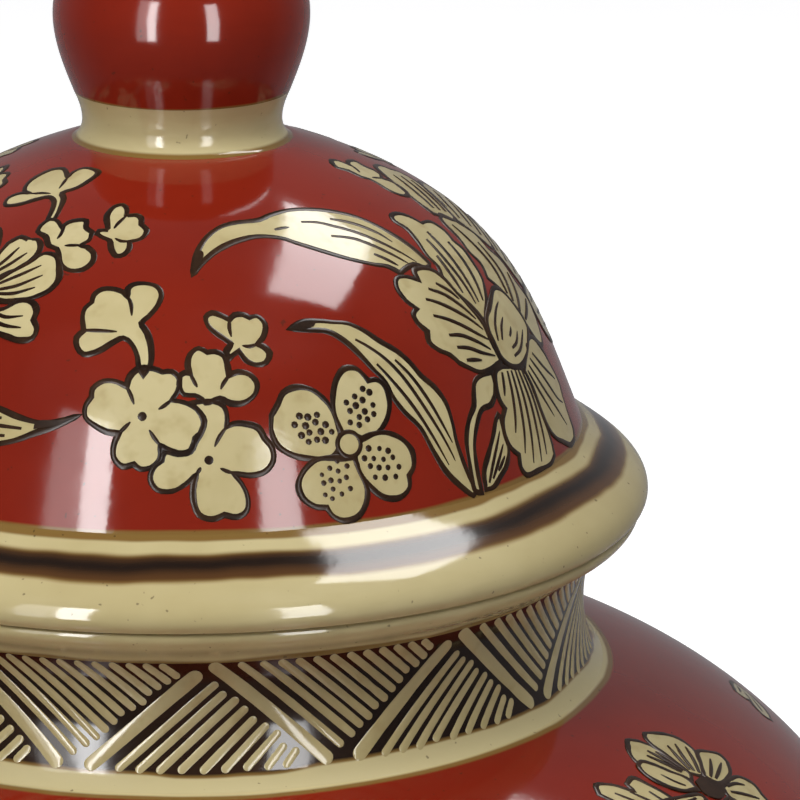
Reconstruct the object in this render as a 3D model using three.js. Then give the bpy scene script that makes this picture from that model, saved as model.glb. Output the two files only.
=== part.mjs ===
// A lidded ginger jar of glazed stoneware: a shouldered body on a turned foot, a short straight
// neck with a rolled lip, and a domed lid with a rounded brim, a locating flange and a bud knob.
// Every piece is a section of revolution about +Z. Millimetres, standing on Z = 0.
import * as THREE from "three";

// Driving dimensions: heights above the table and outer radii.
const HEIGHT = 370;
const BELLY_R = 124;
const BELLY_Z = 175;
const FOOT_R = 79;
const FOOT_HEIGHT = 10;
const NECK_FOOT_R = 69.1;
const NECK_FOOT_Z = 245;
const NECK_R = 65.9;
const LIP_Z = 265.4;
const LIP_R = 74.9;
const SEAT_Z = 272.4;
const BRIM_R = 76;
const BRIM_WAIST_Z = 274.5;
const DOME_FOOT_R = 65.1;
const DOME_FOOT_Z = 285;
const DOME_TOP_R = 18;
const DOME_TOP_Z = 332.1;
const COLLAR_WAIST_R = 16.1;
const KNOB_FOOT_R = 17.4;
const KNOB_FOOT_Z = 340;
const KNOB_R = 20.6;
const KNOB_WAIST_Z = 352.4;

// Walls and clearances.
const BODY_WALL = 7;
const FLOOR_THICKNESS = 9;
const MOUTH_R = 59.5;
const LID_WALL = 6;
const FLANGE_R = 57.3;
const FLANGE_WALL = 5;
const FLANGE_DEPTH = 15;
const FOOT_RING_INNER_R = 64;
const FOOT_ROUNDING = 1.5;
const JOINT_GAP = 0.3;

const SEGMENTS = 48;

const point = (radius, height) => new THREE.Vector2(radius, height);

// A cubic curve from one outline point to another, without its last point.
function curve(from, leaving, arriving, to, steps) {
  const points = new THREE.CubicBezierCurve(from, leaving, arriving, to).getPoints(steps);
  return points.slice(0, -1);
}

// The outline moved inwards by a wall thickness, in reverse order.
function innerFace(outline, wall) {
  const inner = outline.map((here, i) => {
    const before = outline[Math.max(i - 1, 0)];
    const after = outline[Math.min(i + 1, outline.length - 1)];
    const along = after.clone().sub(before).normalize();
    return point(here.x - along.y * wall, here.y + along.x * wall);
  });
  return inner.reverse();
}

function glaze(color, roughness) {
  return new THREE.MeshStandardMaterial({ color, roughness, metalness: 0 });
}

const redGlaze = glaze(0x7d2418, 0.15);
const creamGlaze = glaze(0xb8a578, 0.18);
const brownGlaze = glaze(0x3a1e10, 0.2);
const bareClay = glaze(0xb79c7c, 0.85);

// A solid of revolution: the profile runs up the outside, and starts and ends on the axis
// or closes on itself.
function turned(name, profile, material) {
  const geometry = new THREE.LatheGeometry(profile, SEGMENTS);
  geometry.rotateX(Math.PI / 2);
  const mesh = new THREE.Mesh(geometry, material);
  mesh.name = name;
  return mesh;
}

function ring(name, profile, material) {
  return turned(name, [...profile, profile[0].clone()], material);
}

function footRing() {
  return ring(
    "foot_ring",
    [
      point(FOOT_RING_INNER_R + FOOT_ROUNDING, 0),
      point(FOOT_R - FOOT_ROUNDING, 0),
      point(FOOT_R, FOOT_ROUNDING),
      point(FOOT_R, FOOT_HEIGHT - JOINT_GAP),
      point(FOOT_RING_INNER_R, FOOT_HEIGHT - JOINT_GAP),
      point(FOOT_RING_INNER_R, FOOT_ROUNDING),
    ],
    bareClay,
  );
}

// The lower half of the body: a closed floor and a taper that swells to the belly.
function jarBody() {
  const foot = point(FOOT_R, FOOT_HEIGHT);
  const belly = point(BELLY_R, BELLY_Z - JOINT_GAP);
  const outline = [...curve(foot, point(83, 52), point(BELLY_R, 118), belly, 10), belly];
  const floorZ = FOOT_HEIGHT + FLOOR_THICKNESS;
  const inside = innerFace(outline, BODY_WALL).filter(
    (p) => p.y > floorZ && p.y < belly.y - BODY_WALL,
  );
  return turned(
    "jar_body",
    [
      point(0, FOOT_HEIGHT),
      ...outline,
      point(BELLY_R - BODY_WALL, belly.y),
      ...inside,
      point(FOOT_R - BODY_WALL, floorZ),
      point(0, floorZ),
    ],
    redGlaze,
  );
}

// The upper half of the body: a round shoulder from the belly in to the neck.
function jarShoulder() {
  const belly = point(BELLY_R, BELLY_Z);
  const neckFoot = point(NECK_FOOT_R, NECK_FOOT_Z);
  const outline = [
    ...curve(belly, point(BELLY_R, 214.5), point(97.5, 236), neckFoot, 11),
    neckFoot,
  ];
  const mouth = point(NECK_FOOT_R - BODY_WALL, NECK_FOOT_Z);
  const inside = innerFace(outline, BODY_WALL).filter(
    (p) => p.y > BELLY_Z + BODY_WALL && p.y < NECK_FOOT_Z - BODY_WALL && p.x > mouth.x,
  );
  return ring(
    "jar_shoulder",
    [...outline, mouth, ...inside, point(BELLY_R - BODY_WALL, BELLY_Z)],
    redGlaze,
  );
}

function jarNeck() {
  const foot = point(NECK_FOOT_R, NECK_FOOT_Z + JOINT_GAP);
  const top = point(67.5, LIP_Z - JOINT_GAP);
  return ring(
    "jar_neck",
    [
      ...curve(foot, point(64.5, 249), point(NECK_R - 0.8, 261), top, 7),
      top,
      point(MOUTH_R, top.y),
      point(MOUTH_R, foot.y),
    ],
    brownGlaze,
  );
}

// The rolled lip flares out to carry the lid.
function jarLip() {
  const root = point(67.6, LIP_Z);
  const edge = point(LIP_R, SEAT_Z - JOINT_GAP / 2);
  return ring(
    "jar_lip",
    [
      ...curve(root, point(68.8, 267.6), point(73.6, 269.4), edge, 5),
      edge,
      point(MOUTH_R, edge.y),
      point(MOUTH_R, LIP_Z),
    ],
    creamGlaze,
  );
}

function lidFlange() {
  const topZ = SEAT_Z - JOINT_GAP / 2;
  const bottomZ = SEAT_Z - FLANGE_DEPTH;
  const innerR = FLANGE_R - FLANGE_WALL;
  return ring(
    "lid_flange",
    [
      point(innerR, bottomZ),
      point(FLANGE_R - FOOT_ROUNDING, bottomZ),
      point(FLANGE_R, bottomZ + FOOT_ROUNDING),
      point(FLANGE_R, topZ),
      point(innerR, topZ),
    ],
    bareClay,
  );
}

// The brim rolls out over the lip and closes in again under the dome.
function lidBrim() {
  const seat = point(LIP_R + 0.2, SEAT_Z + JOINT_GAP / 2);
  const waist = point(BRIM_R, BRIM_WAIST_Z);
  const top = point(DOME_FOOT_R + 0.1, DOME_FOOT_Z - JOINT_GAP);
  return ring(
    "lid_brim",
    [
      ...curve(seat, point(75.6, 273), point(BRIM_R, 273.7), waist, 2),
      ...curve(waist, point(BRIM_R, 278.5), point(70.5, 280.3), top, 6),
      top,
      point(DOME_FOOT_R - LID_WALL, top.y),
      point(FLANGE_R - FLANGE_WALL, seat.y),
    ],
    creamGlaze,
  );
}

function lidDome() {
  const foot = point(DOME_FOOT_R, DOME_FOOT_Z);
  const top = point(DOME_TOP_R, DOME_TOP_Z);
  const outline = [...curve(foot, point(56.8, 305.4), point(54, 320.9), top, 14), top];
  const ceilingZ = DOME_TOP_Z - LID_WALL;
  const inside = innerFace(outline, LID_WALL).filter(
    (p) => p.y > DOME_FOOT_Z + LID_WALL && p.y < ceilingZ - 1,
  );
  return turned(
    "lid_dome",
    [
      ...outline,
      point(0, DOME_TOP_Z),
      point(0, ceilingZ),
      point(DOME_TOP_R, ceilingZ),
      ...inside,
      point(DOME_FOOT_R - LID_WALL, DOME_FOOT_Z),
      foot.clone(),
    ],
    redGlaze,
  );
}

// A waisted ring of clay between the dome and the knob.
function knobCollar() {
  const foot = point(DOME_TOP_R - 0.3, DOME_TOP_Z + JOINT_GAP);
  const waist = point(COLLAR_WAIST_R, 335.2);
  const top = point(KNOB_FOOT_R - 0.1, KNOB_FOOT_Z - JOINT_GAP);
  return turned(
    "knob_collar",
    [
      point(0, foot.y),
      ...curve(foot, point(16.8, 332.7), point(COLLAR_WAIST_R, 333.8), waist, 4),
      ...curve(waist, point(COLLAR_WAIST_R, 337), point(16.7, 338.5), top, 3),
      top,
      point(0, top.y),
    ],
    creamGlaze,
  );
}

function lidKnob() {
  const foot = point(KNOB_FOOT_R, KNOB_FOOT_Z);
  const waist = point(KNOB_R, KNOB_WAIST_Z);
  const crown = point(0, HEIGHT);
  return turned(
    "lid_knob",
    [
      point(0, KNOB_FOOT_Z),
      ...curve(foot, point(18.9, 343.8), point(KNOB_R, 348), waist, 5),
      ...curve(waist, point(KNOB_R, 361.6), point(11.5, HEIGHT), crown, 7),
      crown,
    ],
    redGlaze,
  );
}

const jar = new THREE.Group();
jar.add(footRing(), jarBody(), jarShoulder(), jarNeck(), jarLip());

const lid = new THREE.Group();
lid.add(lidFlange(), lidBrim(), lidDome(), knobCollar(), lidKnob());

const gingerJar = new THREE.Group();
gingerJar.add(jar, lid);

export default gingerJar;
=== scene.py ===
"""A lidded ginger jar: glazed stoneware with flowers painted in cream and dark slip on oxblood red.

Lengths are in millimetres until a mesh is made, and in metres after that. The jar's axis is +Z,
and azimuth runs from the front (-Y) towards +X.
"""

import math

import bmesh
import bpy
import numpy as np
from mathutils import Matrix, Vector
from mathutils.geometry import delaunay_2d_cdt


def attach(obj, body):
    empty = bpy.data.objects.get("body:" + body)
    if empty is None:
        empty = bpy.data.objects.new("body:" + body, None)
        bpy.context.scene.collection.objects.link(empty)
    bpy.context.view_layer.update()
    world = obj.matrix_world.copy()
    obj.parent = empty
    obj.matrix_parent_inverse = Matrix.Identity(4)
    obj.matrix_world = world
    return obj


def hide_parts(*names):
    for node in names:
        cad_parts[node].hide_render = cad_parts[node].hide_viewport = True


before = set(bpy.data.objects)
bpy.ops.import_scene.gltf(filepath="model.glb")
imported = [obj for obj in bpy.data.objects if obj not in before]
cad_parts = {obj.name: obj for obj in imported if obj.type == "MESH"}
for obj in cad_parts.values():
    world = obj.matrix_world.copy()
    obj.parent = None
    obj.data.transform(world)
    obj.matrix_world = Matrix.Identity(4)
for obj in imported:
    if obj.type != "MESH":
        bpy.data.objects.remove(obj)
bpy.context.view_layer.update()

MM = 0.001
TINY = 1e-9
HAND = np.random.default_rng(7)


# ---------------------------------------------------------------- outlines and surfaces


def bezier(start, leaving, arriving, end, steps):
    """Points on a cubic curve in the (radius, height) plane, both ends included."""
    t = np.linspace(0, 1, steps + 1)[:, None]
    corners = [np.array(p, float) for p in (start, leaving, arriving, end)]
    weights = ((1 - t) ** 3, 3 * (1 - t) ** 2 * t, 3 * (1 - t) * t**2, t**3)
    return sum(w * c for w, c in zip(weights, corners))


def joined(*runs):
    """One outline from several runs of points that meet end to start."""
    kept = [run[:-1] for run in runs[:-1]]
    return np.concatenate([*kept, runs[-1]])


def inset(outline, wall):
    """The inside of a wall whose outside runs upwards along outline, from the top down."""
    along = np.gradient(outline, axis=0)
    along /= np.linalg.norm(along, axis=1)[:, None]
    inner = outline + wall * np.stack([-along[:, 1], along[:, 0]], axis=1)
    return inner[::-1]


class Surface:
    """A surface of revolution, addressed by azimuth, distance up its outline, and lift off it."""

    def __init__(self, outline):
        self.outline = outline
        steps = np.hypot(*np.diff(outline, axis=0).T)
        self.along = np.concatenate([[0], np.cumsum(steps)])
        self.length = self.along[-1]
        slope = np.gradient(outline, self.along, axis=0)
        slope /= np.linalg.norm(slope, axis=1)[:, None]
        self.outward = np.stack([slope[:, 1], -slope[:, 0]], axis=1)

    def radius(self, distance):
        return np.interp(distance, self.along, self.outline[:, 0])

    def at(self, azimuth, distance, lift):
        """Points in metres for azimuths in radians and distances and lifts in millimetres."""
        side = np.interp(distance, self.along, self.outward[:, 0])
        rise = np.interp(distance, self.along, self.outward[:, 1])
        radius = self.radius(distance) + lift * side
        height = np.interp(distance, self.along, self.outline[:, 1]) + lift * rise
        return MM * np.stack([radius * np.sin(azimuth), -radius * np.cos(azimuth), height], axis=1)


BODY_WALL = 7
LID_WALL = 6
MOUTH_R = 59.5
FLOOR_Z = 19
FOOT_Z = 10
NECK_Z = 245
LIP_Z = 265.4
SEAT_Z = 272.25
BRIM_Z = 272.55
DOME_Z = 285
CROWN_Z = 332.2
KNOB_Z = 340

# The (radius, height) points where one curve of the outside hands over to the next.
BELLY = (124, 175)
NECK_FOOT = (69.1, NECK_Z)
LIP_FOOT = (67.6, LIP_Z)
LIP_EDGE = (74.1, 270.1)
BRIM_EDGE = (76, 274.5)
DOME_FOOT = (65.1, DOME_Z)
DOME_TOP = (17.8, CROWN_Z)
COLLAR_WAIST = (16.1, 335.2)
KNOB_FOOT = (17.4, KNOB_Z)
KNOB_WIDEST = (20.6, 352.4)

TAPER = bezier((79, FOOT_Z), (83, 52), (BELLY[0], 118), BELLY, 48)
SHOULDER = bezier(BELLY, (BELLY[0], 214.5), (97.5, 236), NECK_FOOT, 40)
BODY_OUTLINE = joined(TAPER, SHOULDER)
NECK_OUTLINE = bezier(NECK_FOOT, (64.5, 248.8), (65.1, 261), LIP_FOOT, 28)
LIP_FLARE = bezier(LIP_FOOT, (68.7, 267.4), (73, 268.6), LIP_EDGE, 16)
LIP_ROUND = bezier(LIP_EDGE, (74.8, 271), (74.9, 271.8), (74.4, SEAT_Z), 10)
LIP_OUTLINE = joined(LIP_FLARE, LIP_ROUND)
BRIM_UNDER = bezier((75.1, BRIM_Z), (75.6, 273), (76, 273.7), BRIM_EDGE, 6)
BRIM_ROLL = bezier(BRIM_EDGE, (76, 278.5), (70.5, 280.3), DOME_FOOT, 28)
DOME_OUTLINE = bezier(DOME_FOOT, (56.8, 305.4), (54, 320.9), DOME_TOP, 64)
COLLAR_FLARE = bezier(DOME_TOP, (16.8, 332.7), (16.1, 333.8), COLLAR_WAIST, 12)
COLLAR_RISE = bezier(COLLAR_WAIST, (16.1, 337), (16.7, 338.5), KNOB_FOOT, 10)
KNOB_BUD = bezier(KNOB_FOOT, (18.9, 343.8), (20.6, 348), KNOB_WIDEST, 24)
KNOB_CROWN = bezier(KNOB_WIDEST, (20.6, 361.6), (11.5, 370), (0, 370), 36)

DOME = Surface(DOME_OUTLINE)
BODY = Surface(BODY_OUTLINE)
# The neck's bars run a little way up under the lip's flare.
NECK = Surface(joined(NECK_OUTLINE, LIP_OUTLINE[:5]))


# ---------------------------------------------------------------- mesh making

LATHE_CREASE_DEG = 35
SLIP_CREASE_DEG = 50
LEAST_CHORD = 1e-6
MERGE_WITHIN = 1e-5
EDGE_CLEARANCE = 0.45
MITRE_LIMIT = 1.5
THIN_LINE_LIFT = 0.2
SUNK = -0.12
# A slip line is a low ridge: how far out across its half width, and how high, it is.
RIDGE_SECTION = ((-1.0, 0.0), (-0.84, 0.82), (0.0, 1.0), (0.84, 0.82), (1.0, 0.0))
# A dot's rings outside its peak, as shares of its radius and its height.
DOT_SECTION = ((0.7, 0.8), (1.0, 0.0))


def add_mesh(name, vertices, faces, crease_deg):
    """A smooth-shaded mesh object with clean outward faces and sharp edges past crease_deg."""
    mesh = bpy.data.meshes.new(name)
    mesh.from_pydata([tuple(v) for v in vertices], [], faces)
    tidy = bmesh.new()
    tidy.from_mesh(mesh)
    bmesh.ops.recalc_face_normals(tidy, faces=tidy.faces)
    tidy.to_mesh(mesh)
    tidy.free()
    mesh.shade_smooth()
    mesh.set_sharp_from_angle(angle=math.radians(crease_deg))
    made = bpy.data.objects.new(name, mesh)
    bpy.context.scene.collection.objects.link(made)
    return made


def circle(count):
    """Points round a circle of radius one."""
    turn = 2 * math.pi * np.arange(count) / count
    return np.stack([np.cos(turn), np.sin(turn)], axis=1)


def lathe(name, profile, segments):
    """A closed solid of revolution whose profile closes on itself or starts and ends on the axis."""
    turn = 2 * math.pi * np.arange(segments) / segments
    vertices = []
    rings = []
    for radius, height in profile:
        first = len(vertices)
        if radius < TINY:
            vertices.append((0, 0, height * MM))
        else:
            reach = radius * MM
            vertices += [(reach * math.sin(a), -reach * math.cos(a), height * MM) for a in turn]
        rings.append(range(first, len(vertices)))
    pairs = list(zip(rings, rings[1:]))
    if len(rings[0]) > 1:
        pairs.append((rings[-1], rings[0]))
    faces = []
    for low, high in pairs:
        for i in range(segments):
            j = (i + 1) % segments
            if len(low) > 1 and len(high) > 1:
                faces.append((low[i], low[j], high[j], high[i]))
            elif len(high) > 1:
                faces.append((low[0], high[j], high[i]))
            elif len(low) > 1:
                faces.append((low[i], low[j], high[0]))
    return add_mesh(name, vertices, faces, LATHE_CREASE_DEG)


def smooth(points, spacing):
    """A curve through points, sampled about every spacing."""
    points = np.array(points, float)
    chords = np.maximum(np.hypot(*np.diff(points, axis=0).T), LEAST_CHORD)
    knots = np.concatenate([[0], np.cumsum(np.sqrt(chords))])
    slopes = np.gradient(points, knots, axis=0)
    runs = []
    for i, chord in enumerate(chords):
        count = max(2, math.ceil(chord / spacing))
        u = (np.arange(count) / count)[:, None]
        step = knots[i + 1] - knots[i]
        runs.append(
            (2 * u**3 - 3 * u**2 + 1) * points[i]
            + (u**3 - 2 * u**2 + u) * step * slopes[i]
            + (3 * u**2 - 2 * u**3) * points[i + 1]
            + (u**3 - u**2) * step * slopes[i + 1]
        )
    return np.concatenate([*runs, points[-1:]])


def closed_line(arcs, spacing):
    """A closed line of smooth arcs that meet at corners. Each arc ends where the next one starts."""
    runs = []
    for i, arc in enumerate(arcs):
        following = arcs[(i + 1) % len(arcs)][0]
        runs.append(smooth([*arc, following], spacing)[:-1])
    return np.concatenate(runs)


def unit(vectors):
    """Each row brought to length one."""
    return vectors / np.maximum(np.linalg.norm(vectors, axis=1), TINY)[:, None]


class Stamp:
    """Puts a flat drawing, in millimetres round its own centre, on a surface of revolution."""

    def __init__(self, surface, azimuth_deg, distance, scale=1.0, turn_deg=0.0):
        self.surface = surface
        self.azimuth = math.radians(azimuth_deg)
        self.distance = distance
        self.scale = scale
        self.turn = math.radians(turn_deg)

    def place(self, flat, lift):
        """Points in metres for flat points and their lift, which is one value or one for each."""
        c, s = math.cos(self.turn), math.sin(self.turn)
        x = self.scale * (c * flat[:, 0] - s * flat[:, 1])
        y = self.scale * (s * flat[:, 0] + c * flat[:, 1])
        distance = self.distance + y
        azimuth = self.azimuth + x / self.surface.radius(distance)
        return self.surface.at(azimuth, distance, lift)


class Relief:
    """Raised slip of one colour, gathered into one object. Its underside is sunk in the glaze."""

    def __init__(self, name):
        self.name = name
        self.vertices = []
        self.faces = []

    def add(self, rows, faces):
        first = len(self.vertices)
        self.vertices.extend(np.concatenate(rows))
        self.faces.extend(tuple(first + i for i in face) for face in faces)

    def patch(self, stamp, outline, lift, grid):
        """A filled area with a closed outline."""
        low, high = outline.min(axis=0) + grid / 2, outline.max(axis=0)
        columns = np.arange(low[0], high[0], grid)
        rows = np.arange(low[1], high[1], grid)
        inner = np.array([(x, y) for x in columns for y in rows]).reshape(-1, 2)
        gaps = np.hypot(*(inner[:, None] - outline[None]).transpose(2, 0, 1))
        inner = inner[gaps.min(axis=1) > EDGE_CLEARANCE * grid]
        count = len(outline)
        edges = [(i, (i + 1) % count) for i in range(count)]
        flat = [Vector(p) for p in np.concatenate([outline, inner])]
        flat, _, triangles, *_ = delaunay_2d_cdt(flat, edges, [], 1, MERGE_WITHIN)
        used = sorted({i for t in triangles for i in t})
        index = {old: new for new, old in enumerate(used)}
        triangles = [tuple(index[i] for i in t) for t in triangles]
        flat = np.array([flat[i] for i in used], float)
        sides = dict.fromkeys(side for a, b, c in triangles for side in ((a, b), (b, c), (c, a)))
        rim = [(a, b) for a, b in sides if (b, a) not in sides]
        total = len(flat)
        faces = list(triangles)
        faces += [(c + total, b + total, a + total) for a, b, c in triangles]
        faces += [(b, a, a + total, b + total) for a, b in rim]
        self.add([stamp.place(flat, lift), stamp.place(flat, SUNK)], faces)

    def ridge(self, stamp, line, widths, base, height, closed=False):
        """A line of slip along a flat line, with its width at each point."""
        steps = np.diff(line, axis=0, append=line[:1])
        if not closed:
            steps[-1] = steps[-2]
        going = unit(steps)
        coming = np.roll(going, 1, axis=0)
        if not closed:
            coming[0] = going[0]
        middle = unit(coming + going)
        mitre = 1 / np.maximum((middle * going).sum(axis=1), 1 / MITRE_LIMIT)
        across = np.stack([-middle[:, 1], middle[:, 0]], axis=1) * (widths * mitre / 2)[:, None]
        fullness = height * np.minimum(1, widths / np.max(widths) + THIN_LINE_LIFT)
        rows = [stamp.place(line + out * across, base + up * fullness) for out, up in RIDGE_SECTION]
        rows += [stamp.place(line + out * across, SUNK) for out in (1.0, -1.0)]
        size = len(rows)
        count = len(line)
        faces = []
        for i in range(count if closed else count - 1):
            j = (i + 1) % count
            for k in range(size):
                m = (k + 1) % size
                faces.append((i * size + k, i * size + m, j * size + m, j * size + k))
        if not closed:
            faces.append(tuple(range(size - 1, -1, -1)))
            faces.append(tuple((count - 1) * size + k for k in range(size)))
        self.add(np.stack(rows, axis=1), faces)

    def dot(self, stamp, centre, radius, base, height, sides=12):
        """A round spot of slip."""
        ring = radius * circle(sides)
        rows = [stamp.place(np.array([centre]), base + height)]
        rows += [stamp.place(centre + out * ring, base + up * height) for out, up in DOT_SECTION]
        rows.append(stamp.place(centre + ring, SUNK))
        faces = [(0, 1 + i, 1 + (i + 1) % sides) for i in range(sides)]
        for k in (1, 1 + sides):
            for i in range(sides):
                j = (i + 1) % sides
                faces.append((k + i, k + sides + i, k + sides + j, k + j))
        faces.append(tuple(1 + 2 * sides + i for i in reversed(range(sides))))
        self.add(rows, faces)

    def build(self):
        return add_mesh(self.name, self.vertices, self.faces, SLIP_CREASE_DEG)


# ---------------------------------------------------------------- painted motifs


class Motif:
    """A drawing in slip: cream patches inside dark edges, with dark veins, a tip, a spot or seeds.

    Every point is (azimuth in degrees, distance up the surface in millimetres). An edge is a list
    of arcs that meet at corners, and later edges lie over earlier ones. A vein is an open stroke,
    and a tip is an edge filled with dark slip. A spot and a ring are a point and a radius.
    """

    def __init__(self, centre, *edges, veins=(), tip=(), spot=(), ring=(), seed_directions_deg=()):
        self.centre = centre
        self.edges = edges
        self.veins = veins
        self.tip = tip
        self.spot = spot
        self.ring = ring
        self.seed_directions_deg = seed_directions_deg


BLOSSOM_LEFT = Motif(
    (-6.3, 17.9),
    [[(-8.9, 22.4), (-8.5, 24), (-7, 25.4), (-4.8, 25.3)],
     [(-3.4, 24.8), (-2, 24.9), (-0.8, 23.8), (-1, 21.9)],
     [(-2, 20.4), (-0.2, 20.1), (1.8, 19.1), (2.9, 17.1)],
     [(2.3, 15.2), (1.5, 14.6), (1.2, 13), (-0.4, 12.3), (-2.2, 12.8)],
     [(-3.6, 13.6), (-3.6, 11.6), (-4.8, 10.2), (-6.3, 9.9)],
     [(-7.2, 10.6), (-8.8, 10.2), (-10.1, 11.5), (-10.2, 13.4)],
     [(-9.6, 15.2), (-11.4, 15.4), (-13.2, 16.2), (-14.8, 17.4), (-15, 19)],
     [(-14.2, 20.6), (-14.2, 21.8), (-12.6, 23.1), (-10.6, 23.1)]],
    veins=[[(-8.9, 22.4), (-8.1, 21), (-7.6, 19.7)], [(-2, 20.4), (-3, 19.6), (-3.9, 19)],
           [(-3.6, 13.6), (-4.5, 14.8), (-5.2, 15.9)], [(-9.6, 15.2), (-8.8, 16.1), (-8, 17)]],
    spot=(-6.3, 17.9, 0.9),
)

BLOSSOM_RIGHT = Motif(
    (3.4, 11.2),
    [[(1.2, 20), (2.8, 20.2), (4.6, 20.1), (5.9, 19.3), (6.3, 17.3)],
     [(6, 16), (7.2, 16.6), (9, 16.5), (10.8, 15.8)],
     [(11.6, 14.2), (12.6, 12.6), (12.6, 10.7), (11.4, 9.2), (9.4, 8.7)],
     [(6.6, 9.2), (7.9, 7.4), (8.6, 5.2), (8.3, 3.3), (7, 2.5)],
     [(5.3, 2.9), (3.6, 2.3), (1.9, 3), (1.2, 5), (1.2, 7.4)],
     [(1.7, 9.2), (0, 7.6), (-1.8, 6.6), (-3.8, 6.8), (-4.8, 8.3), (-4.4, 10.1)],
     [(-3.2, 11.2), (-2.8, 12.5), (-1, 12.2), (0.8, 12.6), (1.4, 13.8), (2.4, 15.4), (2.9, 17)]],
    veins=[[(6, 16), (5.1, 14.8), (4.3, 13.2)], [(6.6, 9.2), (5.8, 9.5), (4.9, 10)],
           [(1.7, 9.2), (2, 9.7), (2.3, 10.2)]],
    spot=(3.4, 11.2, 0.9),
)

BUD_TALL = Motif(
    (-11, 33),
    [[(-6.4, 24.2), (-7.2, 25.6), (-7.6, 27.4), (-8.8, 29.4), (-10.2, 30.2), (-12, 29.3), (-14, 27.9),
      (-16.5, 27.2), (-17.8, 28.3), (-18.2, 29.8)],
     [(-17.2, 31), (-18, 33.5), (-17.9, 34.9)],
     [(-16.9, 36), (-16.9, 37.3), (-15.5, 38.5), (-13.2, 38.6), (-11.2, 38)],
     [(-10.4, 37.2), (-10.6, 38.9), (-9.6, 39.7), (-7.4, 39.9), (-5.2, 39.4), (-4.2, 38), (-4.7, 36),
      (-6.2, 34), (-7.4, 32.8), (-6.3, 31.2), (-5.5, 29), (-5.4, 26)]],
    veins=[[(-10.4, 37.4), (-9.6, 36), (-9.2, 34)], [(-17.2, 31.1), (-14.5, 31.2), (-11.4, 31.2)]],
)

BUD_SMALL = Motif(
    (9, 31),
    [[(7.2, 26.8), (6.9, 27.8), (7.8, 29.2), (7.4, 29.6), (5.8, 30.8), (4.3, 32.2), (3.9, 33.8),
      (5, 34.5), (6.8, 33.9)],
     [(8, 33.2), (9, 34), (10.5, 34)],
     [(11.6, 33.4), (12.9, 33.6), (14.1, 32.2), (13.5, 30.2)],
     [(12.2, 28.9), (13.2, 28.4), (14, 27.3), (13.2, 25.9), (11.6, 25.6), (10, 26.4)],
     [(9, 28), (8, 27.4)]],
    veins=[[(8, 33.2), (7.8, 31.8), (8, 30.3)], [(12.2, 28.9), (10.8, 28.6), (9.6, 28.8)]],
)

BUD_MIDDLE = Motif(
    (4.5, 23.5),
    [[(-0.7, 24.2), (-0.7, 22.3), (0, 21.3), (1.6, 21.2), (2.6, 20.6), (3.2, 20), (4.2, 20.2),
      (5.4, 20.6), (7, 19.8), (9, 19.8), (10.8, 21), (11.3, 22.6), (10.3, 24.1), (8.5, 24.6)],
     [(7, 24.1), (6.9, 25.6), (6.4, 27.3), (5, 28)],
     [(3.8, 27.9), (2.4, 28.6), (1, 27.6), (0.6, 25.8)],
     [(0.9, 24.6), (0.1, 24.7)]],
    veins=[[(7, 24.1), (6, 22.8), (5.6, 22)], [(0.9, 24.6), (1.6, 23.2), (2, 22.4)]],
)

BLOSSOM_DOTTED = Motif(
    (24.3, 12),
    [[(23.3, 13.9), (22.9, 16.5), (21.8, 19), (19.8, 21), (17.4, 21.6), (15.3, 20.9), (14.2, 19.2)],
     [(13, 17.5), (12.8, 15), (13.6, 12.8), (15.8, 11.2), (18.5, 10.5), (21, 10.3), (22.4, 11.2)]],
    [[(23.5, 13.8), (22.9, 16.4), (23, 19), (24.2, 22), (26, 23.6), (28, 23.4), (29.2, 22)],
     [(29.6, 21.2), (31, 21.2), (32.3, 20), (32.4, 17.5), (31.3, 15), (29.3, 13.2), (26.8, 12.4),
      (25.8, 13)]],
    [[(26.2, 12.4), (28.5, 13), (30.5, 12.9), (32.9, 11.6), (34.3, 9.4), (34, 7)],
     [(32.9, 5.8), (32.6, 4), (30.8, 2.8), (28.4, 3.2), (26.6, 5), (25.3, 7.5), (24.9, 9.9)]],
    [[(24.8, 9.9), (25.2, 7.5), (25.9, 4.8), (25.3, 2.6), (23.8, 0.9), (21.8, 0.6), (20.2, 1.6)],
     [(19.6, 2.9), (18, 3.2), (16.4, 4.6), (15.9, 6.6), (17, 8.8), (19, 10.2), (21.5, 10.2),
      (23.3, 9.9)]],
    ring=(24.3, 12, 1.9),
    seed_directions_deg=(151, 60, -36, -121),
)

LEAF_LONG = Motif(
    (28, 48),
    [[(1.8, 41.6), (3, 46), (6, 49.8), (10, 51.9), (14, 52.6), (20, 52.8), (24, 53.7), (30, 54.3),
      (36, 53.8), (42, 52.4), (48, 49.7), (52, 45.5), (54.5, 41), (55.3, 37.2)],
     [(55.3, 37.2), (53.5, 37), (51, 38.2), (48, 38)],
     [(46, 37.5), (44, 39.2), (41.5, 40), (36, 42.2), (31, 44.6), (26, 47), (23.5, 48.2), (18, 49.1),
      (12, 48.3), (7, 46.3), (3.5, 43.6)]],
    veins=[[(31, 51.2), (35, 50.6), (39, 49), (43, 47), (47, 44), (50.5, 40.5), (52.2, 38.4)],
           [(39.5, 50.8), (43, 49.6), (46, 48), (49, 45.5), (50.5, 43.2)],
           [(36, 47.2), (41, 45.8), (45, 43.2), (48.5, 40), (50, 38.4)],
           [(43, 42), (45, 40.5), (46.8, 38.8)], [(22.8, 50.2), (25, 50.4), (27, 50.4)]],
    tip=[[(1.8, 41.6), (2.2, 44.4), (3.4, 46.7), (4.4, 46.2), (3.8, 44.2)]],
)

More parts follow.
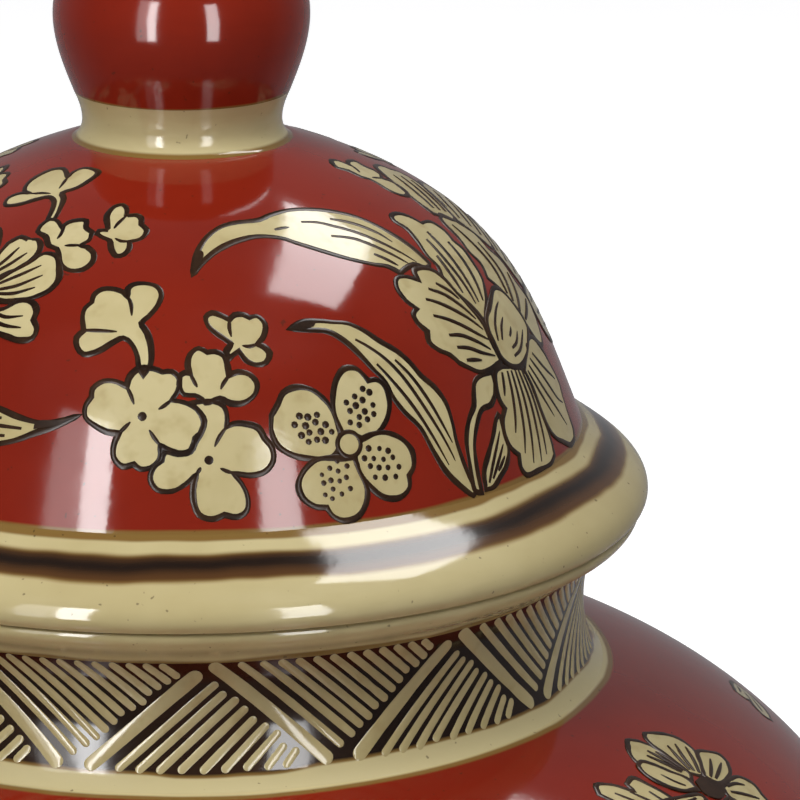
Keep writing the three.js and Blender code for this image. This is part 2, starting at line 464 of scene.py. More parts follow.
LEAF_SHORT = Motif(
    (34, 18),
    [[(18.3, 31), (21, 32), (24, 31.8), (26.5, 31.3), (29, 30.8), (31.5, 29.3), (34, 27), (36.5, 25),
      (38.3, 22.8), (39.6, 20.4), (41.5, 18.2), (42.8, 15.5), (43, 12), (42.8, 9.5), (43.2, 5),
      (43.8, 1)],
     [(43.3, 0.4), (42, 1.8), (39.6, 5), (38, 9), (36.8, 12.6), (34.6, 15.6), (33.3, 18), (32.6, 20.7),
      (31, 23), (29.5, 25.4), (27.5, 28), (25, 29.9), (21, 30.6)]],
    veins=[[(29.5, 28), (31.5, 26.5), (34, 24), (36, 21), (38.5, 15.5), (40.8, 9.5), (41.9, 5.5)],
           [(32, 23.6), (34, 20.5), (36.5, 16), (38.6, 11), (40.3, 6)],
           [(35.6, 23.7), (37.5, 21), (39.5, 16.8), (41, 12.5), (42, 9.2)]],
    tip=[[(18.3, 31), (20.6, 31.9), (23.4, 31.8)], [(22.6, 31), (20.5, 30.7)]],
)

PEONY = Motif(
    (60, 22),
    [[(70, 31), (72, 33.5), (71.6, 36), (73, 38.8), (74.5, 42.5), (77.5, 43.5)],
     [(80.5, 41), (83, 37)],
     [(82, 34), (84, 31), (83, 27), (84, 23), (81.5, 19.5), (78, 16.5), (75.8, 17.6), (74.4, 20.6),
      (73.8, 24), (72, 28.2)]],
    [[(59.8, 25.2), (58.4, 28.5), (56.6, 31.5), (55.9, 34.5), (57, 36.6), (56.6, 38.8), (57.8, 42),
      (58.6, 44.8), (57.6, 46.8), (58.6, 47.9), (61.5, 47.9), (64, 46.6)],
     [(65.6, 44.3), (67.5, 44.2), (69.6, 43.6), (70.6, 41.4)],
     [(69.6, 39), (70.2, 37), (69.4, 35), (67.8, 31.6), (66.4, 30.2), (63.6, 27.9), (61.4, 26.6)]],
    [[(59, 18.6), (56, 18.2), (52.5, 18.4), (50, 19.8)],
     [(48.5, 20.8), (47.2, 22.4), (45.2, 23.6), (43.8, 25.2)],
     [(44.4, 27), (43.2, 28.6), (43.2, 30.2)],
     [(44.6, 30.9), (43.2, 32.6), (42.8, 35), (44.2, 36.7), (46.5, 36.6)],
     [(49, 35.4), (49.8, 37.2), (52, 37.2), (54.5, 36.3), (55.8, 34.5), (56.6, 31.5), (57.6, 28.5),
      (58.8, 25.2), (58.6, 22)]],
    [[(58.6, 17.8), (56.5, 17.6), (55.3, 15.6), (54.9, 13)],
     [(55.5, 11.6), (54, 10), (53.5, 7.6), (54, 5.4)],
     [(55.3, 4), (54.8, 2), (55.6, 0.6), (59, 0.4), (63, 0.4)],
     [(64.8, 1.2), (65.4, 3.5), (65.5, 8), (65.4, 12), (64.8, 15.5)]],
    [[(65, 15.5), (65.6, 12), (65.6, 8.5), (66, 5.5), (67.4, 3.4), (69.6, 2), (72, 0.7)],
     [(74.5, 0.8), (76, 2), (76.4, 4.6)], [(77, 7.5), (78, 9.6), (77.6, 11.6)],
     [(76.8, 13.6), (76, 16), (73.5, 19), (70.5, 19), (67.5, 17.2)]],
    [[(59.4, 21.5), (59.4, 23.5), (60.6, 25.6), (63.5, 27), (66.5, 28.3), (69.3, 29.1), (71.4, 28.2),
      (73, 25.5), (73.9, 22.3), (73.6, 20.6), (71, 19), (68, 17.4), (64.5, 16.5), (61.3, 17.2),
      (59.6, 19)]],
    veins=[[(73.5, 27), (76, 32), (76.5, 38), (76.6, 41)], [(74, 25.5), (78, 30), (79.6, 36)],
           [(74.4, 23.5), (78.5, 26), (81.5, 29)], [(75, 21.8), (78.5, 22.6), (82, 23.6)],
           [(61, 41.5), (60.6, 37), (60.4, 32), (60, 28.5)],
           [(63.8, 42.6), (63.2, 38), (62.2, 33), (61.2, 28.5)],
           [(67.2, 39.4), (66.4, 36), (64.8, 32), (62.8, 28.4)], [(59.2, 38.2), (58.6, 34), (58.3, 30.9)],
           [(47.8, 32), (50, 31), (53, 29), (56, 26.5), (58, 24.3)],
           [(50, 33.5), (53, 31.8), (55.5, 29.2), (57.5, 26.3)], [(52.8, 34), (55, 32), (56.2, 30.2)],
           [(47.4, 29.1), (50, 28), (53, 26.2), (56, 24), (58.2, 22.5)],
           [(48.8, 25.4), (51.5, 24.8), (54.5, 23.2), (57.5, 21)],
           [(49.4, 23.2), (52, 22.5), (55, 21), (58, 19.8)], [(50.4, 20.8), (52.5, 20.4), (54, 20)],
           [(60.6, 21.7), (62, 24), (64.8, 26), (67.6, 27)], [(62, 21.5), (63.8, 23.4), (66, 24.6)],
           [(64.9, 21.4), (66, 21.9), (67, 22.6)], [(64, 19.6), (66.3, 20), (68.5, 21.4)],
           [(63.6, 18.3), (66.5, 18.7), (69.5, 20.2), (71, 21)], [(58, 17), (57.2, 15), (56.4, 13.4)],
           [(59.6, 16.8), (58.6, 13), (57.2, 9.5), (56.1, 7.4)],
           [(60.8, 16.6), (60, 12), (58.4, 7), (56.8, 3.8)],
           [(62, 16.4), (61.4, 11), (60, 6), (58.2, 1.8)],
           [(63, 16.2), (63, 10.5), (61.7, 5), (60.4, 1.4)],
           [(64, 16.2), (64.4, 11), (63.6, 5.5), (62.5, 2)], [(66, 15.2), (67.5, 11), (69.6, 6.3)],
           [(67.2, 15.8), (69.5, 11), (71.8, 7), (73.6, 3.6)],
           [(68.6, 16.6), (71.5, 12), (74, 8), (75.8, 6.8)], [(70.4, 17), (73, 13.8), (76.3, 10.8)]],
)

PEONY_STEM = Motif(
    (60, 22),
    [[(55.3, 17.6), (52.5, 17.8), (50.5, 17.2), (49.2, 15.2), (48.6, 13.8), (46.5, 11.8), (44.9, 9),
      (44.2, 5), (43.9, 1)],
     [(45, 0.6), (45.4, 4.5), (46.2, 8), (47.9, 10.8), (50, 12.8), (52.4, 13)],
     [(54, 14), (55, 15.8)]],
    [[(46, 0.8), (46.6, 3.4), (48.5, 5.8), (50.8, 8.4), (52.6, 10.6), (53.7, 11.2)],
     [(53.7, 11.2), (53.3, 8), (53.2, 5.4), (51.8, 3.4), (49.5, 1.9), (47.6, 0.8)]],
    veins=[[(47, 1.6), (49, 4.4), (52.6, 8.8)], [(48, 2), (50.5, 4.6), (52.4, 6.6)],
           [(49.6, 2.9), (50.8, 3.8), (52, 4.8)]],
)

PETALS_BACK = Motif(
    (88, 40),
    [[(75, 44.4), (75.4, 47.5), (78, 51), (82, 54.4), (87, 56.2), (91.5, 55.4)],
     [(93, 53.4), (95.4, 51.4), (94.4, 48.6)], [(92, 46.8), (88, 44.4), (84, 42), (81, 41)]],
    [[(82, 40.6), (84.5, 43), (88.5, 45.4), (93.5, 47.4), (98.4, 47)],
     [(99.4, 45), (101, 42.6), (99.4, 39.8)], [(96.4, 38.4), (92, 35.6), (88, 33.4), (85, 33.2)]],
    [[(85.4, 32), (89, 34.2), (94, 36.4), (99.4, 36.6)], [(101, 34.4), (103, 31.8), (101, 28.6)],
     [(98, 27.8), (94, 25.4), (89.6, 24.2), (86, 25.4)]],
    [[(84.6, 24), (88.8, 24.4), (94, 24.6), (98.6, 22.4)], [(99, 19.6), (100.4, 16.8), (97.4, 13.6)],
     [(94, 13.8), (89, 14), (84.6, 16.4), (83.4, 20)]],
    veins=[[(78.4, 45), (82, 49), (87, 53)], [(80, 44), (84.6, 47.6), (90.4, 51.6)],
           [(82, 43), (87, 46.4), (92, 49.6)], [(85, 40.4), (90, 43.2), (96, 45)],
           [(86, 38), (91, 40.4), (98, 42.2)], [(86.6, 35.8), (91.4, 37.8), (97, 40)],
           [(88, 31.8), (93, 33.6), (99, 34)], [(88, 29.6), (93.4, 30.6), (100, 31)],
           [(88, 27), (93, 27.8), (98, 29)], [(86, 22), (91, 22), (96.6, 20.6)],
           [(86, 19.8), (91, 19), (97, 17.6)], [(87, 17.4), (91, 16.4), (95, 15.4)]],
)

BUD_TOP = Motif(
    (-45, 59),
    [[(-36.5, 51.6), (-37.8, 54), (-40, 56), (-43, 56.6), (-46, 55.5), (-50, 53.3), (-54, 52.5),
      (-56, 54), (-54, 55.8)],
     [(-50, 56.4), (-54, 56.6), (-57, 58.5), (-57.6, 60.5), (-56, 63), (-52, 63.9), (-47.5, 63)],
     [(-44.8, 62), (-45.5, 63.8), (-43.5, 65.3), (-39, 65.5), (-35, 64.8), (-35.2, 62.5), (-37, 60),
      (-40, 58.2), (-37.6, 56.8), (-35.6, 54), (-35, 51.8)]],
    veins=[[(-50, 56.4), (-46, 57.2), (-43.5, 57.4)], [(-44.8, 62), (-43.6, 60.4), (-42.8, 59)]],
)

BUD_OPEN = Motif(
    (-28, 47),
    [[(-36.9, 50), (-36, 51.5), (-34, 51.6)],
     [(-31, 50.2), (-30.2, 51.5), (-28, 52.3), (-25.8, 52.4), (-24.7, 50.8)],
     [(-22.5, 49.9), (-22.3, 48), (-23.8, 46.8)],
     [(-22, 46.6), (-19.9, 45.4), (-19.4, 43.6), (-20.8, 42), (-23.5, 41.6), (-26, 42.6)],
     [(-27.5, 44.5), (-28.8, 45.6), (-31, 46), (-33.5, 47.8), (-36.5, 48.6)]],
    veins=[[(-30.6, 50.8), (-30, 48.6), (-30.2, 47.6)], [(-23.8, 46.8), (-26, 46.6), (-27.4, 46.4)]],
)

BUD_CLOVER = Motif(
    (-15.5, 50.5),
    [[(-21, 49.6), (-20.9, 50.4), (-18.6, 50.6)],
     [(-18.6, 50.6), (-19.5, 52), (-20.8, 54), (-20, 56.4), (-18, 57), (-16.2, 56), (-15.6, 54.2)],
     [(-15.6, 54.2), (-13, 54.6), (-11.4, 54)],
     [(-10.8, 52.4), (-9, 51), (-10, 49.2)],
     [(-12.6, 48.4), (-12.2, 47), (-13, 45.6), (-14.6, 45.2), (-16.2, 46.6), (-17.3, 48.4), (-19, 48.9)]],
    veins=[[(-15.6, 54.2), (-17, 52.2), (-17.4, 51)], [(-12.8, 48.4), (-14.6, 48.4), (-16.4, 49)]],
)

ASTER = Motif(
    (-41.5, 34.5),
    [[(-43, 29.5), (-44.5, 26), (-45.5, 22.5), (-48.5, 20.5), (-51, 22.5)],
     [(-51.5, 25.5), (-49, 29), (-45.5, 32)]],
    [[(-41, 30), (-41, 26), (-39, 22.5)],
     [(-37.5, 22), (-34.5, 22.5), (-33, 25), (-34, 28), (-37, 30.5), (-39.5, 32)]],
    [[(-45.5, 32), (-49.5, 29.8), (-53.5, 29.5), (-56.5, 31.5)],
     [(-56, 33.5), (-57, 36), (-54, 38.2), (-49.5, 38.2), (-45, 36.6)]],
    [[(-45, 37.5), (-49, 38.8), (-52.5, 41.5), (-53, 44.5)],
     [(-51, 46), (-48, 47.5), (-44.5, 45.2), (-43, 41.5), (-42.5, 38.5)]],
    [[(-41.4, 45), (-39.6, 46.7), (-37, 46.4)],
     [(-37, 46.4), (-35, 46.8), (-33, 45.6), (-32.6, 43.5), (-34.2, 41), (-36.4, 39.6), (-39.5, 37.6),
      (-41.5, 40.5)]],
    [[(-38, 37.5), (-36, 39.5), (-33, 42.2), (-30.8, 44.2), (-28, 44)],
     [(-26.2, 42.2), (-25, 39.6), (-26, 37.4), (-28.6, 35.8), (-31.5, 34.9), (-34.5, 34.4), (-38, 35)]],
    [[(-37, 32.5), (-33.5, 33), (-31, 34.8), (-28.4, 34.9), (-26.9, 33.6)],
     [(-26.9, 32), (-25.7, 30.5), (-26, 29), (-28.2, 28.4), (-30, 28.6), (-34, 29.6)]],
    veins=[[(-44, 31), (-46.5, 27), (-48, 23.8)], [(-45.4, 31.4), (-48.2, 27.6), (-49.6, 25)],
           [(-40.4, 30.6), (-38.6, 27), (-37, 24.4)], [(-39.6, 31.2), (-37, 28.2), (-35.2, 26)],
           [(-46, 33), (-50, 32.4), (-54, 32.6)], [(-46, 34.6), (-50, 34.8), (-54.4, 35)],
           [(-46, 36.2), (-49.4, 36.6), (-53, 36.8)], [(-44.6, 38.4), (-47.4, 41), (-49.4, 44)],
           [(-43.8, 39), (-45, 41.6), (-46.4, 44.6)], [(-40.6, 39.2), (-39, 41.6), (-37.8, 44.6)],
           [(-39.8, 38.8), (-37.4, 41), (-35, 43.8)], [(-37.4, 37), (-33.6, 39.4), (-30, 41.8)],
           [(-37.2, 36), (-33, 37.4), (-28.6, 40)], [(-37, 35.4), (-32.8, 36), (-29, 37.6)],
           [(-36, 32.6), (-32.4, 31.8), (-29, 32.4)], [(-35.4, 31.2), (-32, 30.4), (-28.6, 30.4)]],
    ring=(-41.5, 34.5, 2.4),
)

LEAF_TWIG = Motif(
    (-28, 15),
    [[(-15.8, 17.6), (-18.5, 16.6), (-21.5, 16), (-25, 16.4), (-29, 17.4), (-33, 18), (-37, 17),
      (-40, 14.5), (-41, 11.5)],
     [(-41, 11.5), (-37.5, 11), (-33, 11.2), (-29, 11.8), (-25.5, 12.8), (-22.2, 14.4), (-19, 15.8)]],
    veins=[[(-24.5, 14.8), (-29, 14.8), (-33, 14.6), (-37, 13.4)], [(-27, 13.4), (-31, 13), (-35, 12.4)],
           [(-28, 16), (-32, 16.2), (-36, 15.4)]],
    tip=[[(-15.8, 17.6), (-18.6, 16.7), (-22.4, 16.1)], [(-22.6, 14.9), (-19, 15.9)]],
)

DOME_MOTIFS = (
    LEAF_LONG, LEAF_SHORT, PEONY_STEM, PETALS_BACK, PEONY, BUD_TALL, BUD_SMALL, BUD_MIDDLE,
    BLOSSOM_RIGHT, BLOSSOM_LEFT, BLOSSOM_DOTTED, BUD_TOP, BUD_OPEN, BUD_CLOVER, ASTER, LEAF_TWIG,
)

# The shoulder's motifs are drawn the same way, with heights measured from the neck's foot.
SHOULDER_FLOWER = Motif(
    (64.5, -26),
    [[(63.4, -22.6), (61.6, -20.6), (60.4, -17.4), (59.4, -14.6), (60.4, -12.4), (61.6, -11.4),
      (62.6, -10.7)],
     [(63.8, -12), (64.4, -14), (64.5, -17), (64.3, -21.6)]],
    [[(64.3, -21.6), (64.6, -17.5), (64.8, -14), (65.4, -12.4), (66.4, -11.8)],
     [(67.4, -12.6), (69, -14.4), (69.8, -16.6), (69.3, -19.8), (67.2, -22.2), (65.6, -23.4)]],
    [[(65.8, -23.6), (67.6, -21.8), (69.6, -20.2), (71, -21.4), (72.2, -23.4)],
     [(71.8, -25), (70.4, -26.2), (68.4, -26.6), (66.4, -26)]],
    [[(66.4, -26.8), (68.6, -27), (70.6, -28), (71.4, -30.6)],
     [(70.8, -32.6), (70.4, -34.6), (68.6, -35.4), (66.8, -32), (65.6, -28.8)]],
    [[(65.2, -28.8), (66.6, -32.4), (67.6, -36), (66.2, -39.4)],
     [(64.4, -39.6), (62.4, -40.2), (61.6, -37), (62.4, -32.6), (63.8, -29)]],
    [[(63, -28.6), (61.8, -32), (60.6, -36), (58.2, -37.6)],
     [(56.8, -36), (55.2, -34.6), (55.6, -31.4), (58.6, -28.8), (62, -27.4)]],
    [[(61.8, -26.8), (58, -27.6), (54.4, -29.4), (52, -28)],
     [(51.6, -25.6), (51.8, -23.2), (55, -22.6), (59, -23.8), (62, -25.6)]],
    [[(62.4, -24.4), (60.2, -23), (58.8, -20.4), (58.2, -17.4), (58.8, -15.4), (60, -15.2)],
     [(61, -17), (61.8, -19.4), (62.8, -22)]],
    veins=[[(63.3, -20.6), (62.6, -17.6), (61.8, -14.8)], [(63.7, -20.6), (63.3, -17.4), (62.8, -14.2)],
           [(64.1, -20.8), (64, -18), (63.7, -15.2)], [(64.8, -21.2), (65.6, -18.4), (66.6, -15.9)],
           [(65.2, -21.8), (66.4, -19), (68, -16.6)], [(65.6, -22.6), (67.2, -20.6), (68.8, -18.2)],
           [(66.4, -24.4), (68, -23.6), (69.8, -22.5)], [(66.8, -25.2), (68.6, -24.8), (70.6, -24.3)],
           [(67, -27.4), (68.6, -28), (69.8, -29.4)], [(66.6, -28.4), (68.2, -30.4), (69.6, -32.6)],
           [(65, -30), (65.8, -33.4), (65.8, -37)], [(64.2, -30), (64, -34), (63.6, -37.4)],
           [(62, -29.6), (60.2, -32.2), (58, -34.8)], [(61.2, -29), (58.8, -31), (56.8, -33)],
           [(60.8, -26.4), (57.6, -26.4), (54, -27)], [(60.8, -25.4), (57.6, -24.8), (54.2, -24.8)],
           [(61.4, -22.8), (60.6, -21), (60, -18.6)]],
    tip=[[(63.4, -23.2), (65, -23.4), (66.2, -25.8), (65.6, -27.8), (63.6, -27.8), (62.6, -25.6)]],
    ring=(64.4, -25.7, 0.9),
)

SHOULDER_LEAF = Motif(
    (53.5, -22),
    [[(49.6, -16.4), (50.6, -14.6), (52.6, -16), (54.2, -18.6)],
     [(54.4, -17), (56.2, -16.6), (57, -19), (57.8, -22.6), (58, -27)],
     [(58, -27), (55.6, -27.4), (53.4, -25), (51.4, -21.4)]],
    veins=[[(53.6, -18.4), (54.6, -21), (56, -24.4)], [(56, -20), (56.4, -22.4), (57, -25)],
           [(51.6, -17.4), (53, -20.4), (54.8, -23.6)]],
)

LINE_WIDTH = 0.98
VEIN_WIDTH = 0.74
VEIN_THINNEST = 0.35
VEIN_SPAN = (0.12, 1.02)
VEIN_FULLNESS = 0.7
RING_THINNER = 0.8
RING_SIDES = 28
SLIP_LIFT = 0.05
LINE_HEIGHT = 0.075
LAYER = 0.025
TIP_LIFT = 0.12
LINE_STEP = 0.8
PATCH_STEP = 2.4
# Seeds on a petal: the distance out from the flower's middle, and the places to each side.
SEED_ROWS = ((3.4, (-0.8, 0.8)), (4.8, (-1.6, 0, 1.6)), (6.2, (-2.4, -0.8, 0.8, 2.4)),
             (7.6, (-1.6, 0, 1.6)), (9, (-0.8, 0.8)))
SEED_R = 0.56
SEED_SIDES = 8
SEED_SCATTER = 0.16
SEED_SIZES = (0.85, 1.1)

# A chart is the surface that motifs were drawn on, and the distance up it where heights start.
DOME_CHART = (DOME, 0)
SHOULDER_CHART = (BODY, BODY.length)


def brushed(width, count):
    """Widths round a closed stroke, swelling and thinning slowly as a loaded brush does."""
    share = 2 * math.pi * np.arange(count) / count
    swell = 1 + 0.13 * np.sin(3 * share + HAND.uniform(0, 6)) + 0.09 * np.sin(7 * share)
    return width * swell * HAND.normal(1, 0.02, count)


def tapered(width, count):
    """Widths along an open stroke that is fullest near its middle and fine at its end."""
    share = np.minimum(np.linspace(*VEIN_SPAN, count), 1)
    fullness = np.sin(math.pi * share) ** VEIN_FULLNESS
    return width * (VEIN_THINNEST + (1 - VEIN_THINNEST) * fullness)


def draw_motif(motif, chart, stamp, painted):
    """Adds one motif, placed by a stamp, to a pair of reliefs: the cream slip and the dark slip."""
    drawn_on, base = chart
    cream, dark = painted
    weight = math.sqrt(stamp.scale)
    spacing = LINE_STEP / weight
    grid = PATCH_STEP / weight
    line_width = LINE_WIDTH * weight / stamp.scale
    vein_width = VEIN_WIDTH * weight / stamp.scale
    thick = max(1, stamp.scale)
    line_height = thick * LINE_HEIGHT
    layer = thick * LAYER
    slip_lift = thick * SLIP_LIFT

    def flat(points):
        """Chart points as millimetres round the motif's centre."""
        points = np.array(points, float)
        turned = np.radians(points[:, 0] - motif.centre[0])
        across = turned * drawn_on.radius(points[:, 1] + base)
        return np.stack([across, points[:, 1] - motif.centre[1]], axis=1)

    for level, edge in enumerate(motif.edges):
        outline = closed_line([flat(arc) for arc in edge], spacing)
        cream.patch(stamp, outline, slip_lift + level * layer, grid)
        widths = brushed(line_width, len(outline))
        dark.ridge(stamp, outline, widths, level * layer, line_height, closed=True)
    top = (len(motif.edges) - 1) * layer
    for vein in motif.veins:
        line = smooth(flat(vein), spacing)
        dark.ridge(stamp, line, tapered(vein_width, len(line)), top, line_height)
    if motif.tip:
        outline = closed_line([flat(arc) for arc in motif.tip], spacing)
        dark.patch(stamp, outline, top + thick * TIP_LIFT, grid)
    if motif.spot:
        *place, radius = motif.spot
        dark.dot(stamp, flat([place])[0], radius, top, line_height)
    if motif.ring:
        *place, radius = motif.ring
        outline = flat([place]) + radius * circle(RING_SIDES)
        cream.patch(stamp, outline, top + slip_lift + layer, grid)
        widths = np.full(RING_SIDES, RING_THINNER * line_width)
        dark.ridge(stamp, outline, widths, top + layer, line_height, closed=True)
    for direction in np.radians(motif.seed_directions_deg):
        out = np.array([math.cos(direction), math.sin(direction)])
        side = np.array([-out[1], out[0]])
        for reach, offsets in SEED_ROWS:
            for offset in offsets:
                seed = reach * out + offset * side + HAND.normal(0, SEED_SCATTER, 2)
                radius = SEED_R * HAND.uniform(*SEED_SIZES)
                dark.dot(stamp, seed, radius, top, line_height, SEED_SIDES)


# ---------------------------------------------------------------- glazes

CREAM = (0.545, 0.465, 0.25)
CREAM_DEEP = (0.45, 0.37, 0.18)
CREAM_POOLED = (0.36, 0.27, 0.11)
RED = (0.23, 0.017, 0.006)
RED_DEEP = (0.185, 0.0125, 0.0045)
INK = (0.014, 0.007, 0.004)
INK_WARM = (0.036, 0.017, 0.008)
INK_POOLED = (0.05, 0.025, 0.011)
STRIPE = (0.082, 0.035, 0.011)
OLIVE = (0.20, 0.115, 0.03)
CLAY = (0.42, 0.30, 0.19)
CLAY_DEEP = (0.31, 0.21, 0.125)

GLAZE_IOR = 1.5
GLAZE_RIPPLE = 0.00006
CLAY_GRIT = 0.0002
BRUSH_MARKS = (1, 1, 5)
WOBBLE_SCALE = 40
# Most of what a noise texture gives lies in this range.
MIDDLE = (0.3, 0.7)


class Nodes:
    """Shorthand for a material's node tree. Noise scales are in waves per metre."""

    def __init__(self, name):
        self.material = bpy.data.materials.new(name)
        self.material.use_nodes = True
        self.tree = self.material.node_tree
        self.shader = self.tree.nodes["Principled BSDF"]
        self.place = self.node("ShaderNodeTexCoord").outputs["Object"]

    def node(self, kind, **settings):
        made = self.tree.nodes.new(kind)
        for key, value in settings.items():
            setattr(made, key, value)
        return made

    def set(self, node, **values):
        """Sets inputs by name, with a capital for each word and a space for each underscore."""
        for key, value in values.items():
            node.inputs[key.replace("_", " ").title()].default_value = value

    def noise(self, scale, detail, roughness=0.5, distortion=0.0, stretch=None):
        made = self.node("ShaderNodeTexNoise")
        self.set(made, scale=scale, detail=detail, roughness=roughness, distortion=distortion)
        source = self.place
        if stretch is not None:
            mapping = self.node("ShaderNodeMapping")
            self.set(mapping, scale=stretch)
            self.tree.links.new(self.place, mapping.inputs["Vector"])
            source = mapping.outputs["Vector"]
        self.tree.links.new(source, made.inputs["Vector"])
        return made.outputs["Fac"]

    def span(self, value, low, high, low_out=0.0, high_out=1.0):
        """value mapped from low..high to low_out..high_out, clamped."""
        made = self.node("ShaderNodeMapRange", interpolation_type="SMOOTHSTEP")
        self.set(made, from_min=low, from_max=high, to_min=low_out, to_max=high_out)
        self.tree.links.new(value, made.inputs["Value"])
        return made.outputs["Result"]

    def mix(self, factor, first, second):
        """A colour between two colours or colour sockets."""
        made = self.node("ShaderNodeMix", data_type="RGBA")
        self.tree.links.new(factor, made.inputs["Factor"])
        for value, socket in ((first, made.inputs[6]), (second, made.inputs[7])):
            if isinstance(value, tuple):
                socket.default_value = (*value, 1)
            else:
                self.tree.links.new(value, socket)
        return made.outputs[2]

    def combine(self, operation, first, second):
        made = self.node("ShaderNodeMath", operation=operation)
        self.tree.links.new(first, made.inputs[0])
        self.tree.links.new(second, made.inputs[1])
        return made.outputs[0]

    def height(self, wobble):
        """Height above the table in metres, made wavy by a hand-painted wobble."""
        parts = self.node("ShaderNodeSeparateXYZ")
        self.tree.links.new(self.place, parts.inputs[0])
        shift = self.span(self.noise(WOBBLE_SCALE, 2), *MIDDLE, -wobble, wobble)
        return self.combine("ADD", parts.outputs["Z"], shift)

    def bump(self, distance, *heights):
        """Surface relief from (height socket, strength) pairs, each added to the last."""
        normal = self.shader.inputs["Normal"]
        for height, strength in reversed(heights):
            made = self.node("ShaderNodeBump")
            self.set(made, strength=strength, distance=distance)
            self.tree.links.new(height, made.inputs["Height"])
            self.tree.links.new(made.outputs["Normal"], normal)
            normal = made.inputs["Normal"]

    def finish(self, colour, smoothest, roughest, patches):
        """Links the colour, and a roughness that drifts in patches, and gives the material."""
        roughness = self.span(self.noise(patches, 3), *MIDDLE, smoothest, roughest)
        self.tree.links.new(colour, self.shader.inputs["Base Color"])
        self.tree.links.new(roughness, self.shader.inputs["Roughness"])
        return self.material


def glazed(name, tone, deep, *bands):
    """Glossy glaze: drifting tone, faint brushing, specks, and painted bands by height.

    A band is (colour, lower edge, upper edge, edge softness, wobble), in millimetres.
    """
    n = Nodes(name)
    drift = n.span(n.noise(22, 4, roughness=0.55), 0.32, 0.7)
    colour = n.mix(drift, tone, deep)
    marks = n.noise(70, 3, roughness=0.6, distortion=0.4, stretch=BRUSH_MARKS)
    colour = n.mix(n.span(marks, 0.45, 0.8, high_out=0.35), colour, deep)
    for paint, lower, upper, soft, wobble in bands:
        height = n.height(wobble * MM)
        rise = n.span(height, (lower - soft) * MM, (lower + soft) * MM)
        fall = n.span(height, (upper - soft) * MM, (upper + soft) * MM, 1, 0)
        colour = n.mix(n.combine("MULTIPLY", rise, fall), colour, paint)
    specks = n.span(n.noise(900, 1), 0.73, 0.79, high_out=0.55)
    colour = n.mix(specks, colour, INK_WARM)
    n.shader.inputs["IOR"].default_value = GLAZE_IOR
    n.bump(GLAZE_RIPPLE, (n.noise(110, 2), 0.55), (n.noise(480, 2), 0.18))
    return n.finish(colour, 0.06, 0.12, patches=45)


def slip(name, tone, deep, pooled, patches, smoothest, sheen):
    """Painted slip under the glaze: it pools darker and thins lighter in short drifts."""
    n = Nodes(name)
    colour = n.mix(n.span(n.noise(patches, 4, roughness=0.6), *MIDDLE), tone, deep)
    pools = n.span(n.noise(patches * 7, 2), 0.5, 0.8, high_out=0.5)
    colour = n.mix(pools, colour, pooled)
    n.shader.inputs["IOR"].default_value = GLAZE_IOR
    n.shader.inputs["Specular IOR Level"].default_value = sheen
    n.bump(GLAZE_RIPPLE, (n.noise(130, 2), 0.5), (n.noise(700, 2), 0.25))
    return n.finish(colour, smoothest, smoothest + 0.08, patches=60)


def bare_clay():
    """Unglazed stoneware: gritty, matt, with fine iron specks."""
    n = Nodes("stoneware_clay")
    colour = n.mix(n.span(n.noise(60, 5, roughness=0.65), *MIDDLE), CLAY, CLAY_DEEP)
    specks = n.span(n.noise(1300, 2), 0.66, 0.74, high_out=0.8)
    colour = n.mix(specks, colour, INK_WARM)
    n.bump(CLAY_GRIT, (n.noise(900, 4, roughness=0.7), 0.6), (n.noise(160, 3), 0.4))
    return n.finish(colour, 0.75, 0.92, patches=300)


# ---------------------------------------------------------------- the jar and its lid

NECK_BAND_TOP = 247.2
NECK_BAND_FOOT = 244.8

red_dome = glazed("oxblood_dome", RED, RED_DEEP, (OLIVE, 280, 285.6, 0.25, 0.25))
red_body = glazed(
    "oxblood_body", RED, RED_DEEP,
    (OLIVE, NECK_BAND_FOOT - 0.3, 260, 0.1, 0.07),
    (CREAM, NECK_BAND_FOOT, 260, 0.1, 0.07),
    (OLIVE, 0, 23, 0.3, 0.8),
    (CREAM, 0, 22, 0.3, 0.8),
)
red_knob = glazed("oxblood_knob", RED, RED_DEEP, (OLIVE, 330, 340.2, 0.2, 0.3))
cream_brim = glazed(
    "cream_brim", CREAM, CREAM_DEEP,
    (OLIVE, 284.3, 290, 0.2, 0.3),
    (OLIVE, 279.7, 282.9, 0.35, 0.35),
    (STRIPE, 279.95, 282.6, 0.3, 0.3),
    (INK, 280.9, 282.4, 0.7, 0.4),
)
cream_collar = glazed("cream_collar", CREAM, CREAM_DEEP, (OLIVE, 325, 332.7, 0.25, 0.15))
cream_lip = glazed("cream_lip", CREAM, CREAM_DEEP, (OLIVE, 260, 266.1, 0.35, 0.5))
dark_neck = glazed(
    "dark_neck", INK_WARM, INK,
    (OLIVE, 240, NECK_BAND_TOP + 0.4, 0.25, 0.5),
    (CREAM, 240, NECK_BAND_TOP, 0.2, 0.5),
)
clay = bare_clay()
cream_slip = slip("cream_slip", CREAM, CREAM_DEEP, CREAM_POOLED, 45, 0.08, 0.5)
dark_slip = slip("dark_slip", INK, INK_WARM, INK_POOLED, 90, 0.2, 0.22)


def install(made, body, material, slot, *nodes):
    """Gives a piece its glaze and body, and hides the CAD nodes that it stands for. The material slot is
    not used.
    """
    made.data.materials.append(material)
    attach(made, body)
    if nodes:
        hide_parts(*nodes)


# The inside of a wall is kept between these heights. Above and below, the profile turns a corner.
BODY_INSIDE_Z = (23, 238)
LID_INSIDE_Z = (286.5, 325.7)
CEILING_Z = 326.1
DOME_MOUTH_R = 59.2
FLANGE_R = 52.3
FLANGE_Z = 272.6


def within(outline, heights):
    """The points of an outline between two heights."""
    return outline[(outline[:, 1] > heights[0]) & (outline[:, 1] < heights[1])]


